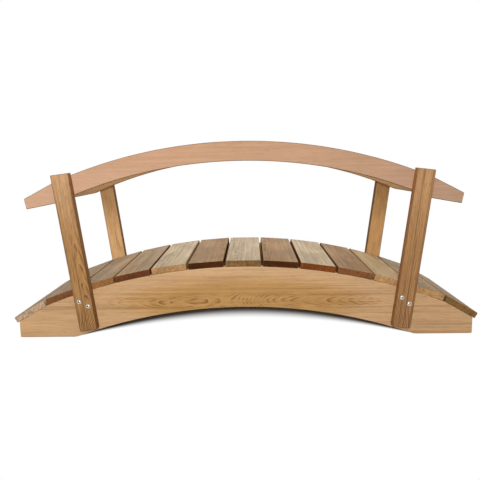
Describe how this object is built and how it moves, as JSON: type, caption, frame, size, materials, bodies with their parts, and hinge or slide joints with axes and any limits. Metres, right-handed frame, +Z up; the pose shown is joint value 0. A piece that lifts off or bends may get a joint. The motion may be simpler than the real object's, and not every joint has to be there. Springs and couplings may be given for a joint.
{
  "type": "moon bridge",
  "caption": "Arched cedar garden footbridge: bowed side beams on flat feet carry a curved board deck, and leaning bolted posts carry bowed handrails.",
  "frame": {"origin": "on the ground under the middle of the span, at the centre of the plan", "axes": "+X along the span to the right, +Y across the deck away from the viewer, +Z up"},
  "size_m": [1.8682, 0.695, 0.776],
  "materials": {
    "beam_cedar": "smooth planed cedar, unpainted",
    "rail_cedar": "smooth planed cedar, unpainted",
    "post_cedar": "smooth planed cedar, unpainted",
    "board_cedar": "smooth planed cedar, unpainted",
    "zinc": "bright zinc plate"
  },
  "bodies": {
    "root": {"near_beam": "beam_cedar", "far_beam": "beam_cedar", "near_handrail": "rail_cedar", "far_handrail": "rail_cedar", "near_left_post": "post_cedar", "near_right_post": "post_cedar", "far_left_post": "post_cedar", "far_right_post": "post_cedar", "deck_board_01": "board_cedar", "deck_board_02": "board_cedar", "deck_board_03": "board_cedar", "deck_board_04": "board_cedar", "deck_board_05": "board_cedar", "deck_board_06": "board_cedar", "deck_board_07": "board_cedar", "deck_board_08": "board_cedar", "deck_board_09": "board_cedar", "deck_board_10": "board_cedar", "deck_board_11": "board_cedar", "deck_board_12": "board_cedar", "deck_board_13": "board_cedar", "near_left_upper_bolt": "zinc", "near_left_upper_washer": "zinc", "near_left_upper_nut": "zinc", "near_left_lower_bolt": "zinc", "near_left_lower_washer": "zinc", "near_left_lower_nut": "zinc", "near_right_upper_bolt": "zinc", "near_right_upper_washer": "zinc", "near_right_upper_nut": "zinc", "near_right_lower_bolt": "zinc", "near_right_lower_washer": "zinc", "near_right_lower_nut": "zinc", "far_left_upper_bolt": "zinc", "far_left_upper_washer": "zinc", "far_left_upper_nut": "zinc", "far_left_lower_bolt": "zinc", "far_left_lower_washer": "zinc", "far_left_lower_nut": "zinc", "far_right_upper_bolt": "zinc", "far_right_upper_washer": "zinc", "far_right_upper_nut": "zinc", "far_right_lower_bolt": "zinc", "far_right_lower_washer": "zinc", "far_right_lower_nut": "zinc"}
  },
  "joints": []
}
